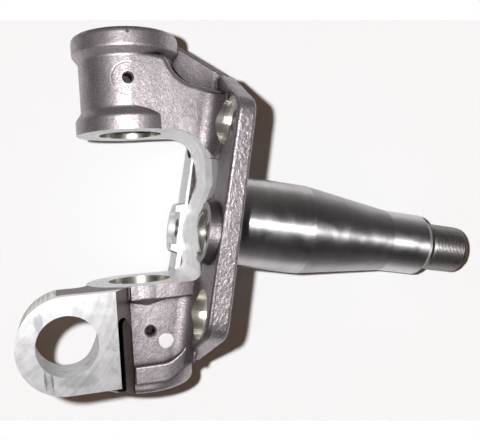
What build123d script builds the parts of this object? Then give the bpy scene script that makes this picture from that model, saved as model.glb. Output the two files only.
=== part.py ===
"""Steering knuckle of a heavy vehicle: one steel forging with its stub axle, machined for its bearings.

Millimetres. The origin is where the king pin axis meets the spindle axis. +X runs outboard along the
spindle, +Z is up, and the tie rod lug stands on the -Y side.
"""

import os
from math import cos, radians, sin, tan

from build123d import *

# King pin axis, its bore and the two bosses of the yoke. Levels are measured along the king pin axis.
kingpin_inclination = 11.0
kingpin_bore_d = 48.7
boss_neck_d = 74.0
boss_rim_d = 83.0
upper_boss_face = 58.0
upper_boss_top = 133.2
lower_boss_face = -57.2
lower_boss_bottom = -139.0
upper_rim_h = 17.0
mid_rim_h = 11.0
rim_slope_h = 6.0
rim_edge_r = 4.5
rim_root_r = 3.0
lower_rim_level = -67.5
machining_stock = 2.0

# Arms that carry the bosses, as thick as the boss necks.
arm_thickness = boss_neck_d
arm_flare_r = 14.0
arm_edge_r = 4.5
upper_arm_level = 99.0
upper_arm_shoulder = 118.0
upper_shoulder_x = 3.0
upper_notch_x = 16.0
upper_arm_fall = 2.0
arm_corner_r = 5.0
lower_arm_level = -130.0
lower_arm_knee_x = 34.0
lower_arm_slope = 43.0
lower_arm_knee_r = 12.0
arm_shoulder_r = 26.0
arm_flange_overlap = 6.0
pad_left = -12.8

# Opening of the yoke, milled. Its wall is further out in the upper half and leans outboard towards +Y.
# The first value is on the near face of the arms, the second on the far one.
yoke_upper_out = (50.6, 60.6)
yoke_lower_out = (40.6, 44.6)
yoke_step_top = (14.0, 18.0)
yoke_step_bottom = (-12.0, -20.0)
yoke_upper_r = 26.0
yoke_lower_r = 7.0
yoke_step_r = 20.0
yoke_reach = 95.0
# Bevel of the upper half's near edge: where it starts, and how far it leans out for each step in y.
yoke_bevel_y = -33.0
yoke_bevel_lean = 0.45

# Brake flange, with its bolt pattern in two rows of three.
flange_back_x = 50.0
flange_back_lean = 0.021
flange_thickness = 14.8
flange_width = 169.5
flange_shoulder_z = 83.0
flange_peak_z = 115.0
flange_peak_width = 30.0
flange_corner_r = 16.0
flange_edge_r = 2.5
bolt_row_y = 60.0
bolt_z_upper = 71.5
bolt_z_middle = -12.0
bolt_z_lower = -71.5
bolt_hole_d = 17.0
spotface_d = 36.6
spotface_depth = 6.0
spotface_reach = 24.0
# The middle bolts have raised seats on the inboard side.
seat_boss_top_x = 42.7
seat_boss_top_d = 44.0
seat_boss_root_d = 49.0
seat_floor_x = 47.3
seat_floor_d = 34.6

# Rib on top of the upper arm, from the boss rim to the top of the flange.
rib_thickness = 20.0
rib_boss_level = 131.0
rib_boss_overlap = 8.0
rib_depth = 30.0
rib_flange_clearance = 1.0
rib_edge_r = 3.0

# Stub axle. Lengths are measured from the outer face of the flange.
root_pad_d = 104.0
root_pad_h = 2.0
root_pad_ledge = 6.0
root_shoulder_d = root_pad_d - 2 * root_pad_ledge
root_shoulder_end = 9.0
root_fillet_r = 4.0
root_edge_r = 1.0
shoulder_edge_r = 2.0
fillet_room = 0.2
spindle_overlap = 4.0
inner_seat_d = 76.2
inner_seat_end = 76.8
outer_seat_d = 54.4
outer_seat_start = 155.8
outer_seat_end = 192.0
thread_d = 41.4
thread_start = 202.5
thread_end = 238.5
thread_relief_depth = 1.4
thread_relief_d = thread_d - 2 * thread_relief_depth
thread_relief_w = 4.0
thread_chamfer = 4.2
outer_seat_chamfer_l = 6.0
outer_seat_chamfer_h = 4.6
centre_drill_d = 8.0
centre_drill_depth = 9.0
split_pin_d = 5.0
split_pin_from_end = 14.5
split_pin_angle = 28.0

# Lug for the tie rod arm: a thick plate with a tapered bore across it.
lug_out = 59.2
lug_level = -90.8
lug_r = 34.0
lug_near_y = -61.0
lug_far_y = -16.0
lug_bore_small_d = 42.0
lug_bore_taper = 0.1
lug_side = 24.8
lug_web_inset = 4.0
lug_web_reach = 8.0
lug_web_r = 10.0

# Channel between the lug plate and the lower boss, closed at its top by a bridge.
channel_floor_y = -31.0
channel_top = -77.0
channel_bevel = 6.0
channel_bevel_h = 11.0
channel_r = 3.0
lug_root_y = 20.0

# Bands raised on both faces of the lower arm, above and below a plain panel.
band_height = 4.0
panel_top = -68.5
panel_bottom = -116.6
panel_corner_out = 13.0
panel_corner_r = 14.0
panel_rise_out = 23.5
panel_rise_level = -109.5
band_end_out = 28.0
band_end_level = -100.0
band_end_width = 6.0
band_end_bottom = -116.5
band_knee_out = 11.5
band_knee_level = -130.5
band_knee_r = 12.0
band_bottom = -130.3
band_edge_r = 1.5
top_band_out = 42.0

# Grease holes, from each face of the arm into the bore.
grease_hole_d = 6.8
grease_countersink_d = 9.5
grease_level_upper = 96.0
grease_level_lower = -92.0
grease_out_upper = -4.0
grease_out_lower = 1.0

# How far a cut runs past the face it opens.
cut_past = 1.0

inclination = radians(kingpin_inclination)
pin_out = Vector(cos(inclination), 0, sin(inclination))
pin_up = Vector(-sin(inclination), 0, cos(inclination))
flange_face_x = flange_back_x + flange_thickness
spindle_end_x = flange_face_x + thread_end


def side_plane(y):
    """Plane of the king pin side view at y, its x outboard and its y up the king pin axis."""
    return Plane(origin=(0, y, 0), x_dir=pin_out, z_dir=(0, -1, 0))


def pin_point(out, level, y=0.0):
    """A place given by its distance out from the king pin axis, its level and its y."""
    return pin_out * out + pin_up * level + Vector(0, y, 0)


pin_axis = Axis((0, 0, 0), pin_up)
neck_r = boss_neck_d / 2
rim_r = boss_rim_d / 2
half_arm = arm_thickness / 2


# ---- arms: the side view of the fork, cut to its plan view ----
upper_shoulder = pin_point(0, upper_arm_shoulder)
lower_shoulder = pin_point(pad_left, lower_arm_level)
arm_end_x = flange_back_x + arm_flange_overlap
lower_end_z = lower_shoulder.Z + (arm_end_x - lower_arm_knee_x) * tan(radians(lower_arm_slope))
flare_start_x = flange_back_x - arm_flare_r
flare_y = half_arm + arm_flare_r

arm_corners = [
    (upper_shoulder.X, upper_shoulder.Z),
    (upper_shoulder_x, upper_shoulder.Z),
    (upper_notch_x, upper_arm_level),
    (arm_end_x, upper_arm_level - upper_arm_fall),
    (arm_end_x, lower_end_z),
    (lower_arm_knee_x, lower_shoulder.Z),
    (lower_shoulder.X, lower_shoulder.Z),
]
arm_radii = [0, arm_corner_r, arm_shoulder_r, 0, 0, lower_arm_knee_r, 0]
with BuildPart() as arms:
    with BuildSketch(Plane.XZ):
        with BuildLine():
            FilletPolyline(*arm_corners, radius=arm_radii, close=True)
        make_face()
    extrude(amount=half_arm, both=True)
    outline_edges = (
        arms.faces()
        .filter_by(Axis.Y)
        .edges()
        .filter_by(lambda e: abs(e.tangent_at(0.5).dot(pin_up)) < 0.9 and e.center().X < arm_end_x - arm_edge_r)
    )
    fillet(outline_edges, radius=arm_edge_r)

# ---- flares where the arms run into the flange: the same side view, cut to their plan ----
with BuildPart() as flares:
    with BuildSketch(Plane.XZ.offset(-flare_y)):
        with BuildLine():
            FilletPolyline(*arm_corners, radius=arm_radii, close=True)
        make_face()
        offset(amount=-arm_edge_r)
    extrude(amount=2 * flare_y)
    with BuildSketch(Plane.XY.offset(-2 * flange_peak_z)):
        with BuildLine():
            Line((flare_start_x, 0), (flare_start_x, half_arm))
            RadiusArc((flare_start_x, half_arm), (flange_back_x, flare_y), -arm_flare_r)
            Polyline((flange_back_x, flare_y), (arm_end_x, flare_y), (arm_end_x, 0))
            mirror(about=Plane.XZ)
        make_face()
    extrude(amount=4 * flange_peak_z, mode=Mode.INTERSECT)

# ---- rib on top of the upper arm ----
rib_start = pin_point(rim_r - rib_boss_overlap, rib_boss_level)
rib_end_x = flange_face_x - rib_flange_clearance
with BuildPart() as rib:
    with BuildSketch(Plane.XZ):
        with BuildLine():
            Polyline(
                (rib_start.X, rib_start.Z),
                (rib_end_x, flange_peak_z),
                (rib_end_x, flange_peak_z - rib_depth),
                (rib_start.X, flange_peak_z - rib_depth),
                close=True,
            )
        make_face()
    extrude(amount=rib_thickness / 2, both=True)
    fillet(rib.faces().sort_by(Axis.Z)[-1].edges().filter_by(Axis.Y, reverse=True), radius=rib_edge_r)

# ---- bands raised on the lower arm ----
with BuildPart() as bands:
    with BuildSketch(side_plane(half_arm + band_height)):
        with BuildLine():
            FilletPolyline(
                (pad_left, panel_bottom),
                (panel_corner_out, panel_bottom),
                (panel_rise_out, panel_rise_level),
                (band_end_out, band_end_level),
                (band_end_out + band_end_width, band_end_level),
                (band_end_out + band_end_width, band_end_bottom),
                (band_knee_out, band_knee_level),
                (pad_left, band_bottom),
                radius=[0, panel_corner_r, panel_corner_r, 0, 0, 0, band_knee_r, 0],
                close=True,
            )
        make_face()
        with BuildLine():
            Polyline(
                (pad_left, lower_boss_face + machining_stock),
                (top_band_out, lower_boss_face + machining_stock),
                (top_band_out, panel_top),
                (pad_left, panel_top),
                close=True,
            )
        make_face()
    extrude(amount=2 * (half_arm + band_height))
    fillet(bands.faces().filter_by(Axis.Y).edges(), radius=band_edge_r)

# ---- bosses ----
with BuildPart() as bosses:
    with BuildSketch(side_plane(0)):
        with BuildLine():
            FilletPolyline(
                (0, upper_boss_face - machining_stock),
                (rim_r, upper_boss_face - machining_stock),
                (rim_r, upper_boss_face + mid_rim_h),
                (neck_r, upper_boss_face + mid_rim_h + rim_slope_h),
                (neck_r, upper_boss_top - upper_rim_h - rim_slope_h / 2),
                (rim_r, upper_boss_top - upper_rim_h + rim_slope_h / 2),
                (rim_r, upper_boss_top),
                (0, upper_boss_top),
                radius=[0, 0, rim_edge_r, rim_root_r, rim_root_r, rim_root_r, rim_edge_r, 0],
                close=True,
            )
        make_face()
        with BuildLine():
            FilletPolyline(
                (0, lower_boss_face + machining_stock),
                (rim_r, lower_boss_face + machining_stock),
                (rim_r, lower_rim_level),
                (neck_r, panel_top - rim_slope_h / 2),
                (neck_r, lower_boss_bottom),
                (0, lower_boss_bottom),
                radius=[0, 0, rim_root_r, rim_root_r, rim_edge_r, 0],
                close=True,
            )
        make_face()
    revolve(axis=pin_axis)

# ---- brake flange ----
lean = flange_back_lean * flange_peak_z
with BuildPart() as flange:
    with BuildSketch(Plane.YZ.offset(flange_back_x - lean)):
        with BuildLine():
            FilletPolyline(
                (-flange_width / 2, -flange_shoulder_z),
                (-flange_width / 2, flange_shoulder_z),
                (-flange_peak_width / 2, flange_peak_z),
                (flange_peak_width / 2, flange_peak_z),
                (flange_width / 2, flange_shoulder_z),
                (flange_width / 2, -flange_shoulder_z),
                (flange_peak_width / 2, -flange_peak_z),
                (-flange_peak_width / 2, -flange_peak_z),
                radius=flange_corner_r,
                close=True,
            )
        make_face()
    extrude(amount=flange_thickness + lean)
    with BuildSketch(Plane.XZ):
        with BuildLine():
            Polyline(
                (flange_back_x + lean, flange_peak_z),
                (flange_face_x, flange_peak_z),
                (flange_face_x, -flange_peak_z),
                (flange_back_x - lean, -flange_peak_z),
                close=True,
            )
        make_face()
    extrude(amount=flange_width / 2, both=True, mode=Mode.INTERSECT)
    fillet(flange.faces().sort_by(Axis.X)[-1].edges(), radius=flange_edge_r)
    fillet(flange.faces().sort_by(Axis.X)[0].edges(), radius=flange_edge_r)

# ---- raised seats of the middle bolts, drafted ----
with BuildPart() as seats:
    for x, d in ((seat_boss_top_x, seat_boss_top_d), (flange_back_x + spindle_overlap, seat_boss_root_d)):
        with BuildSketch(Plane.YZ.offset(x)):
            with Locations((-bolt_row_y, bolt_z_middle)):
                Circle(d / 2)
    loft()
    mirror(about=Plane.XZ)

# ---- tie rod lug: its side view, cut to its plan view ----
with BuildPart() as lug:
    with BuildSketch(side_plane(lug_root_y)):
        with Locations((-lug_out, lug_level)):
            Circle(lug_r)
        with Locations((-lug_out / 2, lug_level)):
            Rectangle(lug_out, 2 * lug_r)
    extrude(amount=lug_root_y - lug_near_y)
    with BuildSketch(Plane(origin=pin_up * (lug_level - 2 * lug_r), x_dir=pin_out, z_dir=pin_up)):
        with BuildLine():
            FilletPolyline(
                (-lug_out - 2 * lug_r, lug_near_y),
                (-lug_side, lug_near_y),
                (pad_left, -half_arm),
                (0, -half_arm),
                (0, lug_root_y),
                (-neck_r + lug_web_inset, lug_root_y - lug_web_inset),
                (-neck_r - lug_web_reach, lug_far_y),
                (-lug_out - 2 * lug_r, lug_far_y),
                radius=[0, 0, 0, 0, 0, lug_web_inset, lug_web_r, 0],
                close=True,
            )
        make_face()
    extrude(amount=4 * lug_r, mode=Mode.INTERSECT)

# ---- stub axle ----
seat_r, outer_r, thread_r = inner_seat_d / 2, outer_seat_d / 2, thread_d / 2
shoulder_root_r = min(root_fillet_r, root_shoulder_d / 2 - seat_r - shoulder_edge_r - fillet_room)
spindle_radii = [0, 0, root_edge_r, root_fillet_r, shoulder_edge_r, shoulder_root_r, 0, 0]
spindle_radii += [0, shoulder_edge_r, root_edge_r, 0, 0, 0, 0, 0]
with BuildPart() as spindle:
    with BuildSketch(Plane.XZ):
        with BuildLine():
            FilletPolyline(
                (flange_back_x + spindle_overlap, 0),
                (flange_back_x + spindle_overlap, root_pad_d / 2),
                (flange_face_x + root_pad_h, root_pad_d / 2),
                (flange_face_x + root_pad_h, root_shoulder_d / 2),
                (flange_face_x + root_shoulder_end, root_shoulder_d / 2),
                (flange_face_x + root_shoulder_end, seat_r),
                (flange_face_x + inner_seat_end, seat_r),
                (flange_face_x + outer_seat_start, outer_r),
                (flange_face_x + outer_seat_end, outer_r),
                (flange_face_x + outer_seat_end + outer_seat_chamfer_l, outer_r - outer_seat_chamfer_h),
                (flange_face_x + thread_start - thread_relief_w, thread_relief_d / 2),
                (flange_face_x + thread_start, thread_relief_d / 2),
                (flange_face_x + thread_start + (thread_d - thread_relief_d) / 2, thread_r),
                (spindle_end_x - thread_chamfer, thread_r),
                (spindle_end_x, thread_r - thread_chamfer),
                (spindle_end_x, 0),
                radius=spindle_radii,
                close=True,
            )
        make_face()
    revolve(axis=Axis.X)

# ---- the milled opening of the yoke ----
def across(pair, y):
    """Value at y, from its values on the near and the far face of the arms."""
    return pair[0] + (pair[1] - pair[0]) * (y + half_arm) / arm_thickness


def yoke_points(y, upper_out):
    """Corners of the opening in the king pin side view at y, with its upper wall at this distance out."""
    return [
        (-yoke_reach, lower_boss_face),
        (across(yoke_lower_out, y), lower_boss_face),
        (across(yoke_lower_out, y), across(yoke_step_bottom, y)),
        (upper_out, across(yoke_step_top, y)),
        (upper_out, upper_boss_face),
        (-yoke_reach, upper_boss_face),
    ]


yoke_radii = [0, yoke_lower_r, yoke_step_r, yoke_step_r, yoke_upper_r, 0]
with BuildPart() as yoke_gap:
    for y in (-flare_y, flare_y):
        with BuildSketch(side_plane(y)):
            with BuildLine():
                FilletPolyline(*yoke_points(y, across(yoke_upper_out, y)), radius=yoke_radii, close=True)
            make_face()
    loft(ruled=True)

bevel_start = across(yoke_upper_out, yoke_bevel_y)
with BuildPart() as yoke_bevel:
    for y in (-flare_y, yoke_bevel_y):
        with BuildSketch(side_plane(y)):
            with BuildLine():
                FilletPolyline(
                    *yoke_points(y, bevel_start + yoke_bevel_lean * (yoke_bevel_y - y)),
                    radius=yoke_radii,
                    close=True,
                )
            make_face()
    loft(ruled=True)


def lug_bore_r(y):
    """Radius of the lug's tapered bore at this y."""
    return (lug_bore_small_d + lug_bore_taper * (y - lug_near_y)) / 2


# ---- the forging and its machining ----
bolt_ys = (-bolt_row_y, bolt_row_y)
with BuildPart() as knuckle:
    add(arms)
    add(flares)
    add(rib)
    add(bands)
    add(bosses)
    add(flange)
    add(seats)
    add(lug)
    add(spindle)

    # Opening of the yoke, with the bevel on the near edge of its upper half.
    add(yoke_gap, mode=Mode.SUBTRACT)
    add(yoke_bevel, mode=Mode.SUBTRACT)

    # King pin bore through both bosses.
    bore_start = lower_boss_bottom - cut_past
    with BuildSketch(Plane(origin=pin_up * bore_start, x_dir=pin_out, z_dir=pin_up)):
        Circle(kingpin_bore_d / 2)
    extrude(amount=upper_boss_top + cut_past - bore_start, mode=Mode.SUBTRACT)

    # Tapered bore of the lug, wider on its far side and clear of the web behind it.
    for y in (lug_near_y - cut_past, lug_root_y + cut_past):
        with BuildSketch(side_plane(y)):
            with Locations((-lug_out, lug_level)):
                Circle(lug_bore_r(y))
    loft(mode=Mode.SUBTRACT)

    # Channel between the lug and the boss, open at its lower end.
    with BuildSketch(side_plane(channel_floor_y)):
        with BuildLine():
            FilletPolyline(
                (-lug_side, bore_start),
                (pad_left, bore_start),
                (pad_left, channel_top - channel_bevel_h),
                (pad_left - channel_bevel, channel_top),
                (-lug_side, channel_top),
                radius=[0, 0, channel_r, channel_r, channel_r],
                close=True,
            )
        make_face()
    extrude(amount=channel_floor_y - lug_near_y + cut_past, mode=Mode.SUBTRACT)

    # Bolt holes of the brake flange, spot-faced on its inboard side.
    with BuildSketch(Plane.YZ.offset(flange_back_x + spotface_depth)):
        with Locations(*[(y, z) for y in bolt_ys for z in (bolt_z_upper, bolt_z_lower)]):
            Circle(spotface_d / 2)
    extrude(amount=-spotface_reach, mode=Mode.SUBTRACT)
    with BuildSketch(Plane.YZ.offset(seat_floor_x)):
        with Locations(*[(y, bolt_z_middle) for y in bolt_ys]):
            Circle(seat_floor_d / 2)
    extrude(amount=-spotface_reach, mode=Mode.SUBTRACT)
    with BuildSketch(Plane.YZ.offset(flange_face_x + cut_past)):
        with Locations(*[(y, z) for y in bolt_ys for z in (bolt_z_upper, bolt_z_middle, bolt_z_lower)]):
            Circle(bolt_hole_d / 2)
    extrude(amount=-spotface_reach, mode=Mode.SUBTRACT)

    # Grease holes of the two bosses, from the -Y face into the bore.
    for out, level in ((grease_out_upper, grease_level_upper), (grease_out_lower, grease_level_lower)):
        with Locations(side_plane(-half_arm).location * Pos(out, level, 0)):
            CounterSinkHole(
                radius=grease_hole_d / 2,
                counter_sink_radius=grease_countersink_d / 2,
                depth=half_arm,
            )

    # Split pin hole across the thread, and the centre hole in the end of the spindle.
    with BuildSketch(
        Plane(
            origin=(spindle_end_x - split_pin_from_end, 0, 0),
            x_dir=(1, 0, 0),
            z_dir=(0, -cos(radians(split_pin_angle)), sin(radians(split_pin_angle))),
        )
    ):
        Circle(split_pin_d / 2)
    extrude(amount=thread_d, both=True, mode=Mode.SUBTRACT)
    with BuildSketch(Plane.XZ):
        with BuildLine():
            Polyline(
                (spindle_end_x, 0),
                (spindle_end_x, centre_drill_d / 2),
                (spindle_end_x - centre_drill_depth, 0),
                close=True,
            )
        make_face()
    revolve(axis=Axis.X, mode=Mode.SUBTRACT)

print("volume", knuckle.part.volume, "solids", len(knuckle.part.solids()))
os.makedirs("parts", exist_ok=True)
knuckle.part.label = "steering_knuckle"
export_step(knuckle.part, "parts/steering_knuckle.step")
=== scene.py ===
"""Looks of a forged steering knuckle lying on a white table, lit by a flash beside the lens.

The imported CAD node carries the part's forms. This script gives each of its surfaces the finish of its
last operation (forged skin, milled, turned, bored), adds the fine thread and the paint mark, and sets up
the camera, the table and the light. Lengths in the classes are millimetres, Blender's are metres.
"""

import logging
import math
from dataclasses import dataclass
from enum import Enum
from typing import Any, Dict, List, Optional, Sequence, Tuple, Union

import bpy
from mathutils import Matrix, Vector


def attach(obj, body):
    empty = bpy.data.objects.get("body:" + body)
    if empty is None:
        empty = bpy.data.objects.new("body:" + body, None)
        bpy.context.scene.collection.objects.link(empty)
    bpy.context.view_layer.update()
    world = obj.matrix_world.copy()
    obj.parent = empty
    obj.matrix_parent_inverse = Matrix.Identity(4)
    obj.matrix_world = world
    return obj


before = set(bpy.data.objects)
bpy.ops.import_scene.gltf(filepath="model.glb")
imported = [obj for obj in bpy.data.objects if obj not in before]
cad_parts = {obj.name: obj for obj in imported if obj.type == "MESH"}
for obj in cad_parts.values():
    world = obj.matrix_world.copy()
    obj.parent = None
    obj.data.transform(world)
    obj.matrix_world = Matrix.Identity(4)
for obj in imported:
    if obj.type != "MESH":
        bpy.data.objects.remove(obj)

LOG = logging.getLogger("steering_knuckle")
MM = 0.001
NODE = "steering_knuckle"
IMAGE_WIDTH, IMAGE_HEIGHT = 480, 440
WHITE = (1.0, 1.0, 1.0, 1.0)

Pair = Tuple[float, float]
Vec3 = Tuple[float, float, float]
Rgba = Tuple[float, float, float, float]
Socket = bpy.types.NodeSocket
Value = Union[Socket, float]


# ----------------------------------------
# Small helpers
# ----------------------------------------
def srgb(hex_code: str) -> Rgba:
    """Turn a hex sRGB colour into linear RGBA.

    Args:
        hex_code: colour such as "#8f8a86".

    Returns:
        Linear red, green and blue, and an alpha of 1.
    """
    values = [int(hex_code.lstrip("#")[i : i + 2], 16) / 255 for i in (0, 2, 4)]
    linear = [v / 12.92 if v <= 0.04045 else ((v + 0.055) / 1.055) ** 2.4 for v in values]
    return (linear[0], linear[1], linear[2], 1.0)


def new_object(
    name: str,
    verts: Sequence[Sequence[float]],
    faces: Sequence[Tuple[int, ...]],
    materials: Sequence[bpy.types.Material],
) -> bpy.types.Object:
    """Make a mesh object and link it to the scene.

    Args:
        name: name of the object and its mesh.
        verts: places of the vertices in metres.
        faces: vertex numbers of each face.
        materials: materials in the order of their slots.

    Returns:
        The new object.
    """
    mesh = bpy.data.meshes.new(name)
    mesh.from_pydata(verts, [], faces)
    mesh.update()
    for material in materials:
        mesh.materials.append(material)
    made = bpy.data.objects.new(name, mesh)
    bpy.context.scene.collection.objects.link(made)
    return made


@dataclass(frozen=True)
class Noise:
    """A noise pattern: its cells' size, its levels of detail, their roughness and its warp."""

    cell_mm: float
    detail: float = 2.0
    rough: float = 0.5
    warp: float = 0.0


class NodeTree:
    """A shader node tree that is filled by short calls."""

    MIX_FACTOR, MIX_A, MIX_B, MIX_RESULT = 0, 6, 7, 2

    def __init__(self, tree: bpy.types.NodeTree) -> None:
        """Empty Blender's tree, so that it can be filled."""
        self.tree = tree
        tree.nodes.clear()

    def add(self, kind: str, inputs: Optional[Dict[Any, Any]] = None, **settings: Any) -> bpy.types.Node:
        """Add a node, set its options, and set or link its inputs.

        Args:
            kind: node type, such as "ShaderNodeMix".
            inputs: input name or index to a value, or to an output socket to link from.
            **settings: attributes of the node.

        Returns:
            The new node.
        """
        node = self.tree.nodes.new(kind)
        for name, value in settings.items():
            setattr(node, name, value)
        for key, value in (inputs or {}).items():
            socket = node.inputs[key]
            if isinstance(value, bpy.types.NodeSocket):
                self.tree.links.new(value, socket)
            else:
                socket.default_value = value
        return node

    def math(self, operation: str, a: Value, b: Value = 0.0) -> Socket:
        """Return the result of a Math node."""
        return self.add("ShaderNodeMath", {0: a, 1: b}, operation=operation).outputs[0]

    def product(self, first: Value, *others: Value) -> Value:
        """Return the product of values, multiplied in turn."""
        result = first
        for other in others:
            result = self.math("MULTIPLY", result, other)
        return result

    def weighted(self, *parts: Tuple[Socket, float]) -> Socket:
        """Add up values, each times its weight.

        Args:
            *parts: each value with its weight.

        Returns:
            Socket of the sum.
        """
        (value, weight), *others = parts
        total = self.math("MULTIPLY", value, weight)
        for value, weight in others:
            total = self.math("ADD", total, self.math("MULTIPLY", value, weight))
        return total

    def vector(self, operation: str, a: Any, b: Any = (0.0, 0.0, 0.0)) -> bpy.types.Node:
        """Return a Vector Math node for two vectors, each a socket or three numbers."""
        return self.add("ShaderNodeVectorMath", {0: a, 1: b}, operation=operation)

    def mix(self, factor: Value, a: Any, b: Any) -> Socket:
        """Return the blend of two colours, the first at 0 and the second at 1."""
        inputs = {self.MIX_FACTOR: factor, self.MIX_A: a, self.MIX_B: b}
        return self.add("ShaderNodeMix", inputs, data_type="RGBA").outputs[self.MIX_RESULT]

    def remap(self, value: Socket, low: float, high: float, to_low: float, to_high: float) -> Socket:
        """Map a value from one range to another, held at both ends.

        Args:
            value: the value.
            low: start of its range.
            high: end of its range.
            to_low: result at the start.
            to_high: result at the end.

        Returns:
            Socket of the result.
        """
        inputs = {0: value, 1: low, 2: high, 3: to_low, 4: to_high}
        return self.add("ShaderNodeMapRange", inputs, clamp=True).outputs[0]

    def place(self) -> Socket:
        """Return the place on the object, in metres."""
        return self.add("ShaderNodeTexCoord").outputs["Object"]

    def split(self, vector: Socket) -> Tuple[Socket, Socket, Socket]:
        """Return the three parts of a vector."""
        x, y, z = self.add("ShaderNodeSeparateXYZ", {0: vector}).outputs
        return x, y, z

    def join(self, x: Value, y: Value, z: Value) -> Socket:
        """Return the vector made of three parts."""
        return self.add("ShaderNodeCombineXYZ", {0: x, 1: y, 2: z}).outputs[0]

    def side_view(self, x: Socket, z: Socket) -> Tuple[Socket, Socket]:
        """Turn a place into the king pin's side view.

        Args:
            x: the place's x in metres.
            z: the place's z in metres.

        Returns:
            Distance out from the king pin and level along it, in metres.
        """
        pin = PinFrame()
        out, level = (self.weighted((x, way.x), (z, way.z)) for way in (pin.out, pin.up))
        return out, level

    def distance(self, u: Socket, v: Socket, centre: Pair) -> Socket:
        """Return the distance of (u, v) from a centre, all in one unit."""
        away = self.vector("DISTANCE", self.join(u, v, 0.0), (centre[0], centre[1], 0.0))
        return away.outputs["Value"]

    def noise(self, vector: Socket, pattern: Noise) -> Socket:
        """Add a noise.

        Args:
            vector: place that it is read at, in metres.
            pattern: the kind of noise.

        Returns:
            Socket of its value.
        """
        inputs = {
            "Vector": vector,
            "Scale": 1 / (pattern.cell_mm * MM),
            "Detail": pattern.detail,
            "Roughness": pattern.rough,
            "Distortion": pattern.warp,
        }
        return self.add("ShaderNodeTexNoise", inputs).outputs["Fac"]

    def openness(self, reach_mm: float, samples: int = 8) -> Socket:
        """Return how open a place is within a reach, from 0 in a crease to 1 on a free face."""
        node = self.add("ShaderNodeAmbientOcclusion", {"Distance": reach_mm * MM}, samples=samples)
        return node.outputs["AO"]

    def bump(
        self, depth_mm: float, height: Socket, strength: float = 1.0, normal: Optional[Socket] = None
    ) -> Socket:
        """Add a bump.

        Args:
            depth_mm: depth of a height of 1.
            height: the height.
            strength: share of the bump that is used.
            normal: normal of the bump that this one lies on, if any.

        Returns:
            Socket of the bumped normal.
        """
        inputs: Dict[str, Any] = {"Strength": strength, "Distance": depth_mm * MM, "Height": height}
        if normal is not None:
            inputs["Normal"] = normal
        return self.add("ShaderNodeBump", inputs).outputs[0]

    def principled(self, inputs: Dict[str, Any]) -> Socket:
        """Return the surface of a Principled shader with these inputs."""
        return self.add("ShaderNodeBsdfPrincipled", inputs).outputs[0]


# ----------------------------------------
# The king pin's side view
# ----------------------------------------
@dataclass(frozen=True)
class PinFrame:
    """The king pin's own axes, in which the forging's levels are given."""

    inclination_deg: float = 11.0

    @property
    def out(self) -> Vector:
        """Direction outboard, square to the king pin."""
        a = math.radians(self.inclination_deg)
        return Vector((math.cos(a), 0, math.sin(a)))

    @property
    def up(self) -> Vector:
        """Direction up the king pin."""
        a = math.radians(self.inclination_deg)
        return Vector((-math.sin(a), 0, math.cos(a)))

    def place(self, out: float, level: float, y: float) -> Vector:
        """Turn a place in the side view into a place in Blender.

        Args:
            out: distance outboard of the king pin in millimetres.
            level: level along it in millimetres.
            y: the part's own y in millimetres.

        Returns:
            The place in metres.
        """
        return (self.out * out + self.up * level + Vector((0, y, 0))) * MM


# ----------------------------------------
# Finishes
# ----------------------------------------
class Finish:
    """Base of the finishes: a material named after the real surface."""

    name = "finish"

    def build(self) -> bpy.types.Material:
        """Make the material and return it."""
        material = bpy.data.materials.new(self.name)
        material.use_nodes = True
        nodes = NodeTree(material.node_tree)
        shader = self.shader(nodes)
        nodes.add("ShaderNodeOutputMaterial", {"Surface": shader})
        return material

    def shader(self, nodes: NodeTree) -> Socket:
        """Return the surface shader."""
        raise NotImplementedError


@dataclass(frozen=True)
class SkinPlace:
    """A place on the forged skin: x and y, its side view from the king pin, and two noises there."""

    where: Socket
    x: Socket
    y: Socket
    out: Socket
    level: Socket
    grain: Socket
    wave: Socket


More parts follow.
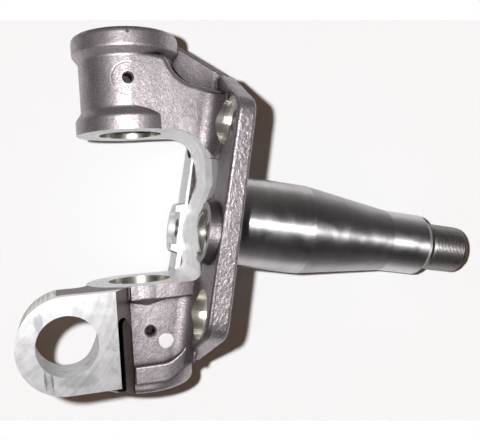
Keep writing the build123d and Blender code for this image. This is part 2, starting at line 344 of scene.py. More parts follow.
@dataclass(frozen=True)
class ForgedSkin(Finish):
    """Shot-blasted skin of a steel forging: fine grain, slightly scaly, cool grey with brown in it; painted
    shade darkens its creases, hollows and near flare.
    """

    name: str = "forged_steel_blasted"
    light: str = "#cdc5c9"
    dark: str = "#9a9195"
    scale_brown: str = "#6e5f5a"
    # Dark brown of the nick on the upper rim, also used as the painted shade in creases and hollows.
    nick_and_painted_shade_brown: str = "#2b2321"
    shade_brown: str = "#40373a"
    skim: str = "#c6c5c6"
    roughness: float = 0.48
    rough_range: Pair = (0.3, 0.7)
    rough_spread: Pair = (0.08, -0.06)
    metallic: float = 0.92
    skim_metallic: float = 0.8
    grain: Noise = Noise(1.1, 3.0, 0.6)
    grain_depth_mm: float = 0.11
    wave: Noise = Noise(14.0)
    wave_depth_mm: float = 0.35
    grain_weight: float = 0.75
    wave_weight: float = 0.25
    tone_range: Pair = (0.36, 0.6)
    scale: Noise = Noise(2.5, 3.0, 0.65)
    scale_range: Pair = (0.6, 0.75)
    scale_strength: float = 0.3
    # Reach, openness range and strength of the painted shade in wide hollows and in tight creases.
    painted_hollow_shade_mm: float = 26.0
    painted_hollow_shade_open: Pair = (0.45, 0.95)
    painted_hollow_shade_strength: float = 0.9
    painted_crease_shade_mm: float = 8.0
    painted_crease_shade_open: Pair = (0.58, 0.93)
    painted_crease_shade_strength: float = 0.96
    near_side_mm: float = -30.0
    shade_near_mm: float = -36.7
    shade_x_mm: Pair = (30.0, 44.0)
    shade_end_mm: float = 52.0
    shade_strength: float = 0.62
    ring_centre_mm: Pair = (-4.0, 96.0)
    ring_r_mm: float = 11.5
    ring_edge_mm: Pair = (0.2, 0.9)
    ring_fade_mm: float = 9.0
    ring_fade_to: float = 0.2
    ring_wander_mm: float = 14.0
    ring_depth: float = 0.12
    nick_mm: Pair = (-2.7, 128.4)
    nick_edge_mm: Pair = (1.6, 2.4)
    nick_ragged_mm: float = 1.5
    nick_strength: float = 0.8
    rind: Noise = Noise(3.2, 4.0, 0.6, 0.8)
    rind_depth_mm: float = 0.7
    rind_from_mm: float = 47.0
    rind_rise_mm: float = 3.0
    rind_least: float = 0.25
    skim_far_mm: float = 2.0
    skim_x_mm: Pair = (20.0, 53.0)
    skim_level_mm: Pair = (-57.3, 58.1)

    def shader(self, nodes: NodeTree) -> Socket:
        """Return the surface shader."""
        where = nodes.place()
        x, y, z = nodes.split(where)
        out, level = nodes.side_view(x, z)
        grain, wave = nodes.noise(where, self.grain), nodes.noise(where, self.wave)
        at = SkinPlace(where, x, y, out, level, grain, wave)
        near_side = nodes.math("LESS_THAN", y, self.near_side_mm * MM)
        colour = self.skin(nodes, at)
        nick = nodes.product(self.nick(nodes, at), near_side)
        colour = nodes.mix(nick, colour, srgb(self.nick_and_painted_shade_brown))
        colour = nodes.mix(self.shade(nodes, at), colour, srgb(self.shade_brown))
        ring = nodes.product(self.ring(nodes, at), near_side)
        skimmed = self.skimmed(nodes, at)
        rough = [self.roughness + spread for spread in self.rough_spread]
        return nodes.principled(
            {
                "Base Color": nodes.mix(skimmed, colour, srgb(self.skim)),
                "Metallic": nodes.remap(skimmed, 0.0, 1.0, self.metallic, self.skim_metallic),
                "Roughness": nodes.remap(grain, *self.rough_range, *rough),
                "Normal": self.relief(nodes, at, ring),
            }
        )

    def skin(self, nodes: NodeTree, at: SkinPlace) -> Socket:
        """Return the skin's colour, with brown scale on it and painted shade darkening its creases and
        hollows.
        """
        tone = nodes.weighted((at.grain, self.grain_weight), (at.wave, self.wave_weight))
        tone = nodes.remap(tone, *self.tone_range, 0.0, 1.0)
        colour = nodes.mix(tone, srgb(self.dark), srgb(self.light))
        scale = nodes.noise(at.where, self.scale)
        scale = nodes.remap(scale, *self.scale_range, 0.0, self.scale_strength)
        colour = nodes.mix(scale, colour, srgb(self.scale_brown))
        # Painted shade: ambient occlusion over two reaches darkens hollows and creases towards dark brown.
        wide, tight = nodes.openness(self.painted_hollow_shade_mm), nodes.openness(self.painted_crease_shade_mm)
        crease = nodes.math(
            "MAXIMUM",
            nodes.remap(wide, *self.painted_hollow_shade_open, self.painted_hollow_shade_strength, 0.0),
            nodes.remap(tight, *self.painted_crease_shade_open, self.painted_crease_shade_strength, 0.0),
        )
        return nodes.mix(crease, colour, srgb(self.nick_and_painted_shade_brown))

    def ring(self, nodes: NodeTree, at: SkinPlace) -> Socket:
        """Return the faint ring round the upper grease hole, which fades along its arc."""
        centre = (self.ring_centre_mm[0] * MM, self.ring_centre_mm[1] * MM)
        away = nodes.distance(at.out, at.level, centre)
        off = nodes.math("ABSOLUTE", nodes.math("SUBTRACT", away, self.ring_r_mm * MM))
        inner, outer = (edge * MM for edge in self.ring_edge_mm)
        ring = nodes.remap(off, inner, outer, 1.0, 0.0)
        wander = nodes.math("MULTIPLY", at.wave, self.ring_wander_mm * MM)
        wander = nodes.math("ADD", at.out, wander)
        return nodes.product(ring, nodes.remap(wander, 0.0, self.ring_fade_mm * MM, 1.0, self.ring_fade_to))

    def nick(self, nodes: NodeTree, at: SkinPlace) -> Socket:
        """Return the small nick on the upper rim, with an edge that the grain makes ragged."""
        away = nodes.distance(at.out, at.level, (self.nick_mm[0] * MM, self.nick_mm[1] * MM))
        ragged = nodes.math("ADD", away, nodes.math("MULTIPLY", at.grain, self.nick_ragged_mm * MM))
        inner, outer = (edge * MM for edge in self.nick_edge_mm)
        return nodes.remap(ragged, inner, outer, self.nick_strength, 0.0)

    def shade(self, nodes: NodeTree, at: SkinPlace) -> Socket:
        """Return the shade on the near flare, which deepens towards the flange."""
        start, full = (x * MM for x in self.shade_x_mm)
        return nodes.product(
            nodes.math("LESS_THAN", at.y, self.shade_near_mm * MM),
            nodes.math("LESS_THAN", at.x, self.shade_end_mm * MM),
            nodes.remap(at.x, start, full, 0.0, self.shade_strength),
        )

    def relief(self, nodes: NodeTree, at: SkinPlace, ring: Socket) -> Socket:
        """Return the normal: grain over the flange's rough rind and the ring, over slow waves."""
        start, full = self.rind_from_mm * MM, (self.rind_from_mm + self.rind_rise_mm) * MM
        edge = nodes.remap(at.x, start, full, self.rind_least, 1.0)
        rind = nodes.product(nodes.noise(at.where, self.rind), edge)
        height = nodes.math("SUBTRACT", rind, nodes.math("MULTIPLY", ring, self.ring_depth))
        waved = nodes.bump(self.wave_depth_mm, at.wave)
        rough_edge = nodes.bump(self.rind_depth_mm, height, normal=waved)
        return nodes.bump(self.grain_depth_mm, at.grain, normal=rough_edge)

    def skimmed(self, nodes: NodeTree, at: SkinPlace) -> Socket:
        """Return 1 on the band behind the far arm that the yoke's cutter skimmed, and 0 elsewhere."""
        return nodes.product(
            nodes.math("GREATER_THAN", at.y, self.skim_far_mm * MM),
            nodes.math("GREATER_THAN", at.x, self.skim_x_mm[0] * MM),
            nodes.math("LESS_THAN", at.x, self.skim_x_mm[1] * MM),
            nodes.math("GREATER_THAN", at.level, self.skim_level_mm[0] * MM),
            nodes.math("LESS_THAN", at.level, self.skim_level_mm[1] * MM),
        )


@dataclass(frozen=True)
class ForgedPaintedShade(ForgedSkin):
    """Forged skin darkened as painted shade in the recesses: the channel beside the lug and the grease
    holes.
    """

    name: str = "forged_steel_painted_shade"
    # Darker colours of the skin, as painted shade.
    light: str = "#75686a"
    dark: str = "#4d413f"
    scale_brown: str = "#3d302c"
    roughness: float = 0.55


@dataclass(frozen=True)
class MilledSteel(Finish):
    """Face-milled steel: bright satin with faint cutter swirls and grey stains."""

    name: str = "milled_steel"
    light: str = "#dadadb"
    dark: str = "#c0bfc1"
    stain: str = "#8f8f93"
    roughness: float = 0.36
    metallic: float = 0.55
    grain: Noise = Noise(7.0, 3.0, 0.6)
    fine: Noise = Noise(0.8)
    swirl: Noise = Noise(2.2, 2.0, 0.6)
    swirl_centre: Vec3 = (-120.0, 0.0, -60.0)
    grain_weight: float = 0.6
    swirl_weight: float = 0.4
    tone_range: Pair = (0.38, 0.58)
    stains: Noise = Noise(16.0, 4.0, 0.7, 0.6)
    stain_range: Pair = (0.62, 0.72)
    stain_strength: float = 0.7
    fine_weight: float = 0.3
    relief_depth_mm: float = 0.025
    relief_strength: float = 0.6

    def shader(self, nodes: NodeTree) -> Socket:
        """Return the surface shader."""
        where = nodes.place()
        grain = nodes.noise(where, self.grain)
        fine = nodes.noise(where, self.fine)
        centre = tuple(c * MM for c in self.swirl_centre)
        away = nodes.vector("DISTANCE", where, centre).outputs["Value"]
        swirls = nodes.noise(nodes.join(away, 0.0, 0.0), self.swirl)
        tone = nodes.weighted((grain, self.grain_weight), (swirls, self.swirl_weight))
        tone = nodes.remap(tone, *self.tone_range, 0.0, 1.0)
        colour = nodes.mix(tone, srgb(self.dark), srgb(self.light))
        stains = nodes.noise(where, self.stains)
        stains = nodes.remap(stains, *self.stain_range, 0.0, self.stain_strength)
        colour = nodes.mix(stains, colour, srgb(self.stain))
        colour, roughness = self.blend(nodes, where, colour)
        relief = nodes.math("ADD", nodes.math("MULTIPLY", fine, self.fine_weight), swirls)
        return nodes.principled(
            {
                "Base Color": colour,
                "Metallic": self.metallic,
                "Roughness": roughness,
                "Normal": nodes.bump(self.relief_depth_mm, relief, self.relief_strength),
            }
        )

    def blend(self, nodes: NodeTree, where: Socket, colour: Socket) -> Tuple[Socket, Value]:
        """Blend in what a kind of milled face has of its own; a plain one has nothing.

        Args:
            nodes: the tree.
            where: place on the object.
            colour: the milled colour.

        Returns:
            The colour and the roughness.
        """
        return colour, self.roughness


@dataclass(frozen=True)
class YokeWall(MilledSteel):
    """Wall of the yoke's opening: milled, and ground grey where it runs out into the near flare."""

    name: str = "milled_steel_yoke"
    ground: str = "#a19da0"
    ground_dark: str = "#5f595b"
    ground_roughness: float = 0.45
    milled_to_mm: float = -41.0
    milled_edge_mm: float = 0.8
    ground_to_mm: float = -50.5
    ground_dark_mm: float = 5.0

    def blend(self, nodes: NodeTree, where: Socket, colour: Socket) -> Tuple[Socket, Value]:
        """Blend in the ground part of the wall, as the base says."""
        _, y, _ = nodes.split(where)
        inner, outer = self.milled_to_mm * MM, self.ground_to_mm * MM
        darker = nodes.remap(y, outer, (self.ground_to_mm + self.ground_dark_mm) * MM, 1.0, 0.0)
        grey = nodes.mix(darker, srgb(self.ground), srgb(self.ground_dark))
        mask = nodes.remap(y, inner, inner + self.milled_edge_mm * MM, 1.0, 0.0)
        rough = nodes.remap(mask, 0.0, 1.0, self.roughness, self.ground_roughness)
        return nodes.mix(mask, colour, grey), rough


@dataclass(frozen=True)
class Mark:
    """A grey oval mark: its centre, half its length and width, its turn and its strength."""

    x: float
    z: float
    half_length: float
    half_width: float
    turn_deg: float
    strength: float


@dataclass(frozen=True)
class LugFace(MilledSteel):
    """Milled face of the lug, with a smudge, a double scratch and grey handling marks."""

    name: str = "milled_steel_lug"
    smudge: str = "#7e848b"
    rag: Noise = Noise(3.0, 3.0, 0.6)
    mark_edge: Pair = (1.2, 1.6)
    marks: Tuple[Mark, ...] = (
        Mark(-61.6, -86.0, 7.6, 3.4, -80.0, 0.55),
        Mark(-52.1, -123.7, 8.5, 0.9, -76.0, 0.85),
        Mark(-47.5, -124.3, 8.5, 0.8, -76.0, 0.85),
        Mark(-50.0, -124.0, 8.0, 2.6, -76.0, 0.3),
        Mark(-30.0, -123.5, 13.0, 5.0, 12.0, 0.35),
    )

    def blend(self, nodes: NodeTree, where: Socket, colour: Socket) -> Tuple[Socket, Value]:
        """Blend in the marks, as the base says."""
        x, _, z = nodes.split(where)
        rag = nodes.noise(where, self.rag)
        for mark in self.marks:
            turn = math.radians(mark.turn_deg)
            length, width = mark.half_length * MM, mark.half_width * MM
            dx = nodes.math("SUBTRACT", x, mark.x * MM)
            dz = nodes.math("SUBTRACT", z, mark.z * MM)
            along = nodes.weighted((dx, math.cos(turn) / length), (dz, math.sin(turn) / length))
            across = nodes.weighted((dz, math.cos(turn) / width), (dx, -math.sin(turn) / width))
            far = nodes.math("ADD", nodes.distance(along, across, (0.0, 0.0)), rag)
            mask = nodes.remap(far, *self.mark_edge, mark.strength, 0.0)
            colour = nodes.mix(mask, colour, srgb(self.smudge))
        return colour, self.roughness


@dataclass(frozen=True)
class LowerFace(MilledSteel):
    """Milled lower face of the yoke; beyond the boss's rim the lug's top is as forged."""

    name: str = "milled_steel_lower_face"
    skin: str = "#6f666a"
    skin_roughness: float = 0.5
    rim_r_mm: float = 41.8

    def blend(self, nodes: NodeTree, where: Socket, colour: Socket) -> Tuple[Socket, Value]:
        """Blend in the forged skin beyond the rim, as the base says."""
        x, y, z = nodes.split(where)
        out, _ = nodes.side_view(x, z)
        away = nodes.distance(out, y, (0.0, 0.0))
        beyond = nodes.math("GREATER_THAN", away, self.rim_r_mm * MM)
        mask = nodes.math("MULTIPLY", beyond, nodes.math("LESS_THAN", out, 0.0))
        rough = nodes.remap(mask, 0.0, 1.0, self.roughness, self.skin_roughness)
        return nodes.mix(mask, colour, srgb(self.skin)), rough


@dataclass(frozen=True)
class TurnedSteel(Finish):
    """Turned and ground steel: fine rings round the spindle, so its highlight is one long streak."""

    name: str = "turned_steel"
    light: str = "#e6e4e5"
    dark: str = "#b5b1b2"
    roughness: float = 0.44
    rough_spread: float = 0.05
    smear_range: Pair = (0.4, 0.6)
    metallic: float = 1.0
    anisotropy: float = 0.93
    anisotropic_turn: float = 0.25
    radius_share: float = 0.3
    rings: Noise = Noise(0.6, 3.0, 0.7)
    bands: Noise = Noise(8.0)
    smear: Noise = Noise(26.0, 3.0, 0.6, 1.2)
    ring_weight: float = 0.3
    band_weight: float = 0.3
    smear_weight: float = 0.4
    tone_range: Pair = (0.3, 0.7)
    ring_depth_mm: float = 0.003
    taper_mm: Pair = (141.6, 220.6)
    taper_edge_mm: float = 0.4
    taper_tone: str = "#858084"
    taper_strength: float = 0.45

    def shader(self, nodes: NodeTree) -> Socket:
        """Return the surface shader."""
        where = nodes.place()
        x, y, z = nodes.split(where)
        radius = nodes.vector("LENGTH", nodes.join(0.0, y, z)).outputs["Value"]
        along = nodes.join(x, nodes.math("MULTIPLY", radius, self.radius_share), 0.0)
        rings = nodes.noise(along, self.rings)
        bands = nodes.noise(along, self.bands)
        smear = nodes.noise(where, self.smear)
        tone = nodes.weighted(
            (rings, self.ring_weight), (bands, self.band_weight), (smear, self.smear_weight)
        )
        tone = nodes.remap(tone, *self.tone_range, 0.0, 1.0)
        colour = nodes.mix(tone, srgb(self.dark), srgb(self.light))
        start, end = (at * MM for at in self.taper_mm)
        edge = self.taper_edge_mm * MM
        taper = nodes.product(
            nodes.remap(x, start, start + edge, 0.0, 1.0),
            nodes.remap(x, end, end + edge, 1.0, 0.0),
            self.taper_strength,
        )
        low, high = self.roughness - self.rough_spread, self.roughness + self.rough_spread
        tangent = nodes.add("ShaderNodeTangent", direction_type="RADIAL", axis="X")
        return nodes.principled(
            {
                "Base Color": nodes.mix(taper, colour, srgb(self.taper_tone)),
                "Metallic": self.metallic,
                "Roughness": nodes.remap(smear, *self.smear_range, low, high),
                "Anisotropic": self.anisotropy,
                "Anisotropic Rotation": self.anisotropic_turn,
                "Normal": nodes.bump(self.ring_depth_mm, rings),
                "Tangent": tangent.outputs[0],
            }
        )


@dataclass(frozen=True)
class ThreadedSteel(Finish):
    """Flanks of the fine thread on the spindle's end: bright crests over grey flanks."""

    name: str = "threaded_steel"
    colour: str = "#8f8b8a"
    dark: str = "#5d5857"
    roughness: float = 0.3
    metallic: float = 0.9
    grain: Noise = Noise(2.0, 3.0, 0.6)
    tone_range: Pair = (0.4, 0.65)
    dark_strength: float = 0.5

    def shader(self, nodes: NodeTree) -> Socket:
        """Return the surface shader."""
        grain = nodes.noise(nodes.place(), self.grain)
        tone = nodes.remap(grain, *self.tone_range, 0.0, self.dark_strength)
        colour = nodes.mix(tone, srgb(self.colour), srgb(self.dark))
        return nodes.principled(
            {"Base Color": colour, "Metallic": self.metallic, "Roughness": self.roughness}
        )


@dataclass(frozen=True)
class BoredSteel(Finish):
    """Inside of a bore: bright, with the tool's fine marks."""

    name: str = "bored_steel"
    colour: str = "#c9c6bd"
    roughness: float = 0.3
    metallic: float = 1.0
    fine: Noise = Noise(1.0)
    relief_depth_mm: float = 0.02
    relief_strength: float = 0.5

    def shader(self, nodes: NodeTree) -> Socket:
        """Return the surface shader."""
        fine = nodes.noise(nodes.place(), self.fine)
        return nodes.principled(
            {
                "Base Color": srgb(self.colour),
                "Metallic": self.metallic,
                "Roughness": self.roughness,
                "Normal": nodes.bump(self.relief_depth_mm, fine, self.relief_strength),
            }
        )


@dataclass(frozen=True)
class PaintMark(Finish):
    """Dab of white inspection paint."""

    name: str = "white_inspection_paint"
    colour: str = "#d8d6d7"
    roughness: float = 0.45

    def shader(self, nodes: NodeTree) -> Socket:
        """Return the surface shader."""
        return nodes.principled({"Base Color": srgb(self.colour), "Roughness": self.roughness})


class Surface(Enum):
    """Kinds of surface on the forging, each with its place among the node's material slots."""

    FORGED = 0
    MILLED = 1
    TURNED = 2
    BORED = 3
    THREADED = 4
    # Forged skin with painted shade, for the channel beside the lug and the grease holes.
    SCALE = 5
    YOKE = 6
    LUG_FACE = 7
    LOWER_FACE = 8


# ----------------------------------------
# The forging: which surface has which finish
# ----------------------------------------
@dataclass(frozen=True)
class KnuckleSizes:
    """Places of the machined surfaces, and how close a polygon has to be to them, in millimetres."""

    pin: PinFrame = PinFrame()
    kingpin_bore_r: float = 24.35
    kingpin_bore_room: float = 0.3
    upper_face: float = 58.0
    lower_face: float = -57.2
    upper_top: float = 133.2
    lower_bottom: float = -139.0
    yoke_out_min: float = 20.0
    yoke_out_max: float = 75.0
    yoke_half: float = 51.2
    flare_x: float = 36.0
    flare_y: float = 51.0
    flare_r: float = 14.0
    flare_room: float = 0.3
    flange_face: float = 64.8
    spotface_floor: float = 56.0
    spotface_r: float = 18.3
    bolt_r: float = 8.5
    bolt_places: Tuple[Pair, ...] = tuple((y, z) for y in (-60.0, 60.0) for z in (71.5, -12.0, -71.5))
    middle_bolt: float = -12.0
    spindle_r: float = 52.2
    thread_start: float = 263.4
    lug_out: float = 59.2
    lug_level: float = -90.8
    lug_near: float = -61.0
    lug_far: float = -16.0
    lug_bore_r: float = 26.0
    channel_left: float = -25.0
    channel_right: float = -12.6
    channel_top: float = -76.5
    arm_face: float = -37.0
    arm_face_room: float = 0.2
    arm_wall_room: float = 0.5
    grease_places: Tuple[Pair, ...] = ((-4.0, 96.0), (1.0, -92.0))
    grease_r: float = 3.45
    close: float = 0.12


class KnuckleFinishes:
    """Gives each polygon of the CAD node the finish of its last operation.

    The limits are cosines between a polygon's normal and an axis: along it on a face, and across it on
    the wall of a hole.
    """

    ALONG = 0.99
    MOSTLY_ALONG = 0.9
    ACROSS = 0.1
    MOSTLY_ACROSS = 0.3
    FACES_PIN = -0.2

    def __init__(self, sizes: KnuckleSizes) -> None:
        """Keep the places of the machined surfaces."""
        self.sizes = sizes

    def kind(self, at: Vector, normal: Vector) -> Surface:
        """Tell what kind of surface a polygon is on.

        Args:
            at: polygon centre in millimetres.
            normal: its outward normal.

        Returns:
            The kind of surface.
        """
        s, near = self.sizes, self.sizes.close
        out, level = at.dot(s.pin.out), at.dot(s.pin.up)
        along_pin = abs(normal.dot(s.pin.up))
        on_spindle = normal.x > self.ALONG or math.hypot(at.y, at.z) < s.spindle_r
        if at.x > s.thread_start:
            return Surface.THREADED
        if at.x > s.flange_face - near and on_spindle:
            return Surface.TURNED
        if math.hypot(out, at.y) < s.kingpin_bore_r + s.kingpin_bore_room and along_pin < self.ACROSS:
            return Surface.BORED
        if along_pin > self.ALONG:
            if any(abs(level - face) < near for face in (s.upper_face, s.upper_top)):
                return Surface.MILLED
            if abs(level - s.lower_face) < near:
                return Surface.LOWER_FACE
            if abs(level - s.lower_bottom) < near:
                return Surface.MILLED
        if s.lower_face - near < level < s.upper_face + near and self.in_yoke(at, normal, out):
            return Surface.YOKE
        if normal.y < -self.ALONG and abs(at.y - s.lug_near) < near:
            return Surface.LUG_FACE
        if normal.y > self.ALONG and abs(at.y - s.lug_far) < near:
            return Surface.MILLED
        in_lug = math.hypot(out + s.lug_out, level - s.lug_level) < s.lug_bore_r
        if in_lug and abs(normal.y) < self.MOSTLY_ACROSS:
            return Surface.MILLED
        # Painted shade: the channel beside the lug and the grease holes get the darker skin.
        if self.in_recess(at, out, level):
            return Surface.SCALE
        return self.at_bolts(at, normal)

    def at_bolts(self, at: Vector, normal: Vector) -> Surface:
        """Tell the kind of a polygon that is on none of the other machined surfaces.

        Args:
            at: polygon centre in millimetres.
            normal: its outward normal.

        Returns:
            Bored or milled at the flange's holes and their seats, and forged elsewhere.
        """
        s, near = self.sizes, self.sizes.close
        for y, z in s.bolt_places:
            r = math.hypot(at.y - y, at.z - z)
            if r < s.bolt_r + near and abs(normal.x) < self.MOSTLY_ACROSS:
                return Surface.BORED
            if r < s.spotface_r + near and at.x < s.spotface_floor + near:
                far_middle = y > 0 and abs(z - s.middle_bolt) < near
                floor = normal.x < -self.MOSTLY_ALONG
                return Surface.MILLED if floor or far_middle else Surface.BORED
        return Surface.FORGED

    def in_recess(self, at: Vector, out: float, level: float) -> bool:
        """Tell whether a polygon lies in the channel beside the lug or in a grease hole."""
        s = self.sizes
        if not s.arm_face + s.arm_face_room < at.y < 0:
            return False
        if s.channel_left < out < s.channel_right and level < s.channel_top:
            return True
        return any(math.hypot(out - o, level - v) < s.grease_r for o, v in s.grease_places)

    def in_yoke(self, at: Vector, normal: Vector, out: float) -> bool:
        """Tell whether a polygon at the yoke's levels is on the milled opening's walls.

        Args:
            at: polygon centre in millimetres.
            normal: its outward normal.
            out: its distance outboard of the king pin.

        Returns:
            True on the walls, and False on the arms' flares and the flange.
        """
        s = self.sizes
        side = abs(at.y)
        flare = abs(math.hypot(at.x - s.flare_x, side - s.flare_y) - s.flare_r) < s.flare_room
        if flare or side > s.yoke_half or not s.yoke_out_min < out < s.yoke_out_max:
            return False
        return side < -s.arm_face - s.arm_wall_room or normal.dot(s.pin.out) < self.FACES_PIN

    def apply(self, node: bpy.types.Object, finishes: Dict[Surface, Finish]) -> None:
        """Fill the node's material slots and hand out its polygons.

        Args:
            node: the CAD node.
            finishes: the finish of each kind of surface.
        """
        mesh = node.data
        mesh.materials.clear()
        for surface in Surface:
            mesh.materials.append(finishes[surface].build())
        counts = {surface: 0 for surface in Surface}
        for polygon in mesh.polygons:
            surface = self.kind(polygon.center / MM, polygon.normal)
            polygon.material_index = surface.value
            counts[surface] += 1
        LOG.info("polygons by finish: %s", {s.name: n for s, n in counts.items()})


# ----------------------------------------
# Camera, table and light
# ----------------------------------------
@dataclass(frozen=True)
class CameraSpec:
    """Camera close to the part, a little to its left: its place and its turn about the part."""

    place: Vec3 = (-60.61, -482.33, -9.5)
    yaw_deg: float = 17.148
    pitch_deg: float = 1.248
    roll_deg: float = 7.139
    lens_mm: float = 45.0
    sensor_mm: float = 36.0
    clip_m: Pair = (0.01, 20.0)

    @property
    def axes(self) -> Tuple[Vector, Vector, Vector]:
        """Right, up and look directions."""
        yaw, pitch, roll = (math.radians(a) for a in (self.yaw_deg, self.pitch_deg, self.roll_deg))
        look = Vector((math.sin(yaw), math.cos(yaw), 0))
        right = Vector((math.cos(yaw), -math.sin(yaw), 0))
        up = Vector((0, 0, 1))
        turned_look = look * math.cos(pitch) + up * math.sin(pitch)
        turned_up = up * math.cos(pitch) - look * math.sin(pitch)
        final_right = right * math.cos(roll) + turned_up * math.sin(roll)
        final_up = turned_up * math.cos(roll) - right * math.sin(roll)
        return final_right, final_up, turned_look

    def ray(self, column: float, row: float) -> Vector:
        """Find the direction that a pixel of the image looks along.

        Args:
            column: pixels from the image's left side.
            row: pixels from its top.

        Returns:
            The direction in the part's axes.
        """
        right, up, look = self.axes
        focal = self.lens_mm / self.sensor_mm * IMAGE_WIDTH
        aside, above = (column - IMAGE_WIDTH / 2) / focal, (IMAGE_HEIGHT / 2 - row) / focal
        return look + right * aside + up * above

    def build(self) -> None:
        """Make the camera the scene's own."""
        data = bpy.data.cameras.new("camera")
        data.lens = self.lens_mm
        data.sensor_width = self.sensor_mm
        data.clip_start, data.clip_end = self.clip_m
        camera = bpy.data.objects.new("camera", data)
        bpy.context.scene.collection.objects.link(camera)
        right, up, look = self.axes
        turn = Matrix((right, up, -look)).transposed().to_4x4()
        camera.matrix_world = Matrix.Translation(Vector(self.place) * MM) @ turn
        bpy.context.scene.camera = camera


@dataclass(frozen=True)
class TableSpec:
    """White table top behind the part, which rests on the flange's edge and the spindle's end."""

    touch_flange: Vec3 = (64.8, 84.75, 0.0)
    touch_spindle: Vec3 = (301.0, 20.7, 0.0)
    gap_mm: float = 1.0
    top_row: float = 20.0
    bottom_row: float = 420.5
    margin_px: float = 420.0
    top_margin_px: float = 160.0
    centre_white: float = 0.67
    edge_white: float = 0.84
    least_facing: float = 0.2
    red_share: float = 0.99
    blue_share: float = 1.012
    glow: float = 1.0

    def build(self, camera: CameraSpec, flash: Vector) -> None:
        """Make the table top as a stage object, with a plain margin above and below.

        Args:
            camera: the camera that it lies behind the part for.
            flash: place of the flash in metres.
        """
        a, b = Vector(self.touch_flange) * MM, Vector(self.touch_spindle) * MM
        along = (b - a).normalized()
        away = Vector((-along.y, along.x, 0)).normalized()
        base = a + away * self.gap_mm * MM
        eye = Vector(camera.place) * MM
        top, bottom = self.top_row, self.bottom_row
        corners: List[Vector] = []
        for row in (top - self.top_margin_px, top, bottom, bottom + self.margin_px):
            for column in (-self.margin_px, IMAGE_WIDTH + self.margin_px):
                ray = camera.ray(column, row)
                corners.append(eye + ray * ((base - eye).dot(away) / ray.dot(away)))
        faces = [(k, k + 1, k + 3, k + 2) for k in range(0, len(corners) - 2, 2)]
        white = self.material(flash, "white_table", False)
        margin = self.material(flash, "white_table_margin", True)
        table = new_object("table_top", corners, faces, (white, margin))
        if table.data.polygons[0].normal.dot(away) > 0:
            table.data.flip_normals()
        for polygon, index in zip(table.data.polygons, (1, 0, 1)):
            polygon.material_index = index

    def material(self, flash: Vector, name: str, plain: bool) -> bpy.types.Material:
        """White from the front, a little paler away from the flash, and clear from behind.

        Args:
            flash: place of the flash in metres.
            name: name of the material.
            plain: True for the margin, which the camera sees as plain white.

        Returns:
            The material.
        """
        material = bpy.data.materials.new(name)
        material.use_nodes = True
        nodes = NodeTree(material.node_tree)
        where = nodes.add("ShaderNodeNewGeometry")
        to_flash = nodes.vector("SUBTRACT", tuple(flash), where.outputs["Position"]).outputs[0]
        to_flash = nodes.vector("NORMALIZE", to_flash).outputs[0]
        facing = nodes.vector("DOT_PRODUCT", to_flash, where.outputs["True Normal"]).outputs["Value"]
        facing = nodes.math("MAXIMUM", facing, self.least_facing)
        shade = nodes.math("DIVIDE", self.centre_white, facing)
        shade = nodes.math("MINIMUM", shade, self.edge_white)
        red = nodes.math("MULTIPLY", shade, self.red_share)
        blue = nodes.math("MULTIPLY", shade, self.blue_share)
        grey = nodes.add("ShaderNodeCombineColor", {0: red, 1: shade, 2: blue}).outputs[0]
        front = nodes.add("ShaderNodeBsdfDiffuse", {"Color": grey}).outputs[0]
        if plain:
            seen = nodes.add("ShaderNodeLightPath").outputs["Is Camera Ray"]
            glow = nodes.add("ShaderNodeEmission", {"Strength": self.glow}).outputs[0]
            front = nodes.add("ShaderNodeMixShader", {0: seen, 1: front, 2: glow}).outputs[0]
        clear = nodes.add("ShaderNodeBsdfTransparent").outputs[0]
        behind = where.outputs["Backfacing"]
        mixed = nodes.add("ShaderNodeMixShader", {0: behind, 1: front, 2: clear})
        nodes.add("ShaderNodeOutputMaterial", {"Surface": mixed.outputs[0]})
        return material


@dataclass(frozen=True)
class LightSpec:
    """Flash beside the lens, and the room's dim light."""

    flash_left_mm: float = 47.0
    flash_up_mm: float = 17.0
    flash_radius_mm: float = 7.0
    flash_power: float = 15.0
    flash_strength: float = 3.4
    room: str = "#5e4b3d"
    room_strength: float = 1.0
    ceiling: str = "#3a3838"
    floor: str = "#0d0e13"
    gloss_rise: Pair = (-0.1, 0.35)

    def flash_place(self, camera: CameraSpec) -> Vector:
        """Return the place in metres of the flash beside this camera."""
        right, up, _ = camera.axes
        return (Vector(camera.place) - right * self.flash_left_mm + up * self.flash_up_mm) * MM

    def build(self, camera: CameraSpec) -> None:
        """Make the flash, whose light doesn't fall off over the part, and the world.

        Args:
            camera: the camera that the flash is beside.
        """
        data = bpy.data.lights.new("flash", "POINT")
        data.energy = self.flash_power
        data.shadow_soft_size = self.flash_radius_mm * MM
        data.use_nodes = True
        nodes = NodeTree(data.node_tree)
        falloff = nodes.add("ShaderNodeLightFalloff", {"Strength": self.flash_strength})
        emission = nodes.add("ShaderNodeEmission", {"Strength": falloff.outputs["Constant"]})
        nodes.add("ShaderNodeOutputLight", {"Surface": emission.outputs[0]})
        flash = bpy.data.objects.new("flash", data)
        bpy.context.scene.collection.objects.link(flash)
        flash.location = self.flash_place(camera)
        self.world()

    def world(self) -> None:
        """White for the camera, a brown room for shade, a pale ceiling over a dark floor for gloss."""
        world = bpy.data.worlds.new("room")
        bpy.context.scene.world = world
        world.use_nodes = True
        nodes = NodeTree(world.node_tree)
        path = nodes.add("ShaderNodeLightPath")
        _, _, rise = nodes.split(nodes.add("ShaderNodeTexCoord").outputs["Generated"])
        rise = nodes.remap(rise, *self.gloss_rise, 0.0, 1.0)
        gloss = nodes.mix(rise, srgb(self.floor), srgb(self.ceiling))
        colour = nodes.mix(path.outputs["Is Glossy Ray"], srgb(self.room), gloss)
        colour = nodes.mix(path.outputs["Is Camera Ray"], colour, WHITE)
        shader = nodes.add("ShaderNodeBackground", {"Color": colour, "Strength": self.room_strength})
        nodes.add("ShaderNodeOutputWorld", {"Surface": shader.outputs[0]})


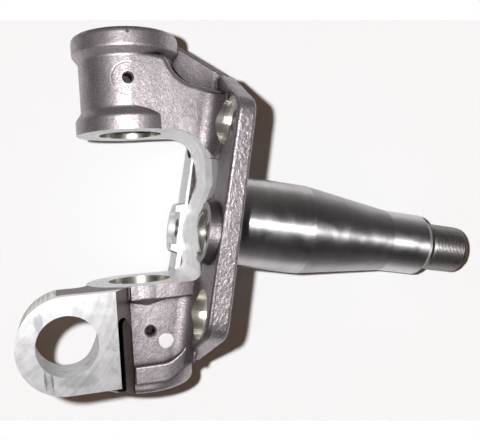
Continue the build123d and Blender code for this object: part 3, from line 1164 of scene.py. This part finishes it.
# ----------------------------------------
# Pieces of the visual model
# ----------------------------------------
@dataclass(frozen=True)
class ThreadRidge:
    """Fine thread on the spindle's end, as one helical ridge standing on the solid cylinder."""

    start_x: float = 268.4
    end_x: float = 299.3
    core_r: float = 20.55
    crest_r: float = 20.95
    pitch: float = 1.5
    per_turn: int = 96
    root_half: float = 0.5
    crest_half: float = 0.06
    width_share: float = 0.96
    fade_rate: float = 2.0
    fade_start: float = 0.05

    def build(self, finish: Finish) -> bpy.types.Object:
        """Make the ridge, which fades out at both ends.

        Args:
            finish: its finish.

        Returns:
            The piece.
        """
        section = (
            (-self.root_half, self.core_r),
            (-self.crest_half, self.crest_r),
            (self.crest_half, self.crest_r),
            (self.root_half, self.core_r),
        )
        turns = (self.end_x - self.start_x) / self.pitch
        steps = int(turns * self.per_turn)
        verts: List[Vec3] = []
        faces: List[Tuple[int, ...]] = []
        for i in range(steps + 1):
            share = i / self.per_turn
            fades = (self.fade_rate * at + self.fade_start for at in (share, turns - share))
            fade = min(1.0, *fades)
            angle = 2 * math.pi * share
            for shift, r in section:
                x = self.start_x + (share + shift * self.width_share) * self.pitch
                radius = self.core_r + (r - self.core_r) * fade
                verts.append((x * MM, radius * math.cos(angle) * MM, radius * math.sin(angle) * MM))
        n = len(section)
        for i in range(steps):
            for j in range(n - 1):
                a = i * n + j
                faces.append((a, a + 1, a + n + 1, a + n))
        return new_object("hub_nut_thread", verts, faces, (finish.build(),))


@dataclass(frozen=True)
class PaintDot:
    """Round dab of paint on the lower arm's face, a little uneven at its edge.

    Each ring has its share of the radius and of the thickness. Each lobe of the edge has its count
    round the dab, its depth and its turn in radians.
    """

    pin: PinFrame = PinFrame()
    out: float = 12.1
    level: float = -100.5
    y: float = -37.0
    radius: float = 5.6
    thickness: float = 0.15
    corners: int = 48
    rings: Tuple[Pair, ...] = ((1.0, -0.02), (0.93, 0.75), (0.7, 1.0), (0.35, 1.0))
    lobes: Tuple[Vec3, ...] = ((3, 0.035, 0.6), (7, 0.02, 2.0))

    def build(self, finish: Finish) -> bpy.types.Object:
        """Make the dab as a low dome.

        Args:
            finish: its finish.

        Returns:
            The piece.
        """
        centre = self.pin.place(self.out, self.level, self.y)
        verts: List[Vector] = []
        faces: List[Tuple[int, ...]] = []
        for share, height in self.rings:
            for i in range(self.corners):
                a = 2 * math.pi * i / self.corners
                wobble = 1.0
                for count, depth, turn in self.lobes:
                    wobble += depth * math.sin(count * a + turn)
                r = self.radius * share * wobble * MM
                step = self.pin.out * (r * math.cos(a)) + self.pin.up * (r * math.sin(a))
                verts.append(centre + step + Vector((0, -height * self.thickness * MM, 0)))
        verts.append(centre + Vector((0, -self.thickness * MM, 0)))
        n = self.corners
        for k in range(len(self.rings) - 1):
            for i in range(n):
                j = (i + 1) % n
                faces.append((k * n + i, k * n + j, (k + 1) * n + j, (k + 1) * n + i))
        last = (len(self.rings) - 1) * n
        for i in range(n):
            faces.append((last + i, last + (i + 1) % n, len(verts) - 1))
        piece = new_object("paint_dot", verts, faces, (finish.build(),))
        for polygon in piece.data.polygons:
            polygon.use_smooth = True
        return piece


class SteeringKnuckle:
    """The whole dressed part."""

    def dress(self) -> None:
        """Give the CAD node its finishes and add the scene's own pieces."""
        finishes = {
            Surface.FORGED: ForgedSkin(),
            Surface.MILLED: MilledSteel(),
            Surface.TURNED: TurnedSteel(),
            Surface.BORED: BoredSteel(),
            Surface.THREADED: ThreadedSteel(),
            Surface.SCALE: ForgedPaintedShade(),
            Surface.YOKE: YokeWall(),
            Surface.LUG_FACE: LugFace(),
            Surface.LOWER_FACE: LowerFace(),
        }
        KnuckleFinishes(KnuckleSizes()).apply(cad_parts[NODE], finishes)
        for piece in (ThreadRidge().build(ThreadedSteel()), PaintDot().build(PaintMark())):
            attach(piece, "root")


def main() -> None:
    """Dress the part and set the stage."""
    logging.basicConfig(level=logging.INFO)
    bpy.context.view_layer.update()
    SteeringKnuckle().dress()
    camera = CameraSpec()
    camera.build()
    light = LightSpec()
    TableSpec().build(camera, light.flash_place(camera))
    light.build(camera)
    bpy.context.scene.view_settings.view_transform = "Standard"


if __name__ == "__main__":
    main()
